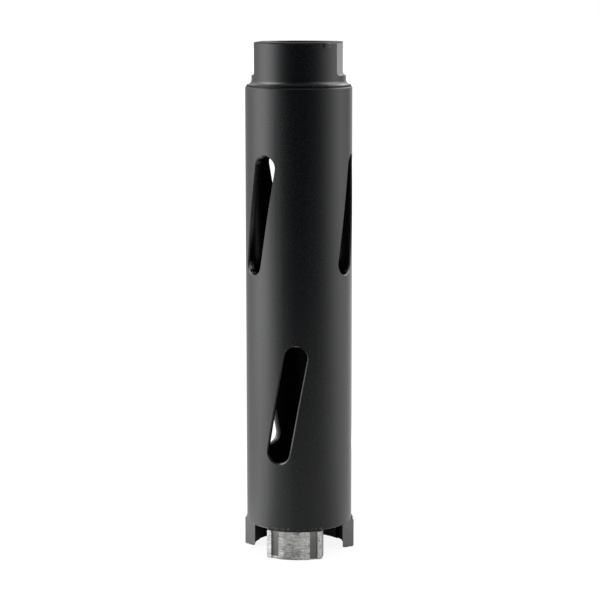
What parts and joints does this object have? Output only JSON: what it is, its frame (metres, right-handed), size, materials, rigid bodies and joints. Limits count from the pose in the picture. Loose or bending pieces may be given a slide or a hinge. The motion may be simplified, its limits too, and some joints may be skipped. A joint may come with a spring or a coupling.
{
  "type": "diamond core bit",
  "caption": "Dry diamond core bit: slotted steel barrel with grooved diamond segments at its cutting end and a threaded hub with spanner flats at the other",
  "frame": {"origin": "on the drilling axis, at the plane of the segment tips that the bit stands on", "axes": "+Z along the drilling axis out of the hub's mouth; +X square to a spanner flat; segment_1 is on the -Y side, with its middle 3 degrees towards +X"},
  "size_m": [0.038, 0.0371, 0.1748],
  "materials": {
    "hub_paint": "satin",
    "barrel_paint": "satin",
    "segment_metal": "rough"
  },
  "bodies": {
    "root": {"hub": "hub_paint", "barrel": "barrel_paint", "segment_1": "segment_metal", "segment_2": "segment_metal", "segment_3": "segment_metal"}
  },
  "joints": []
}
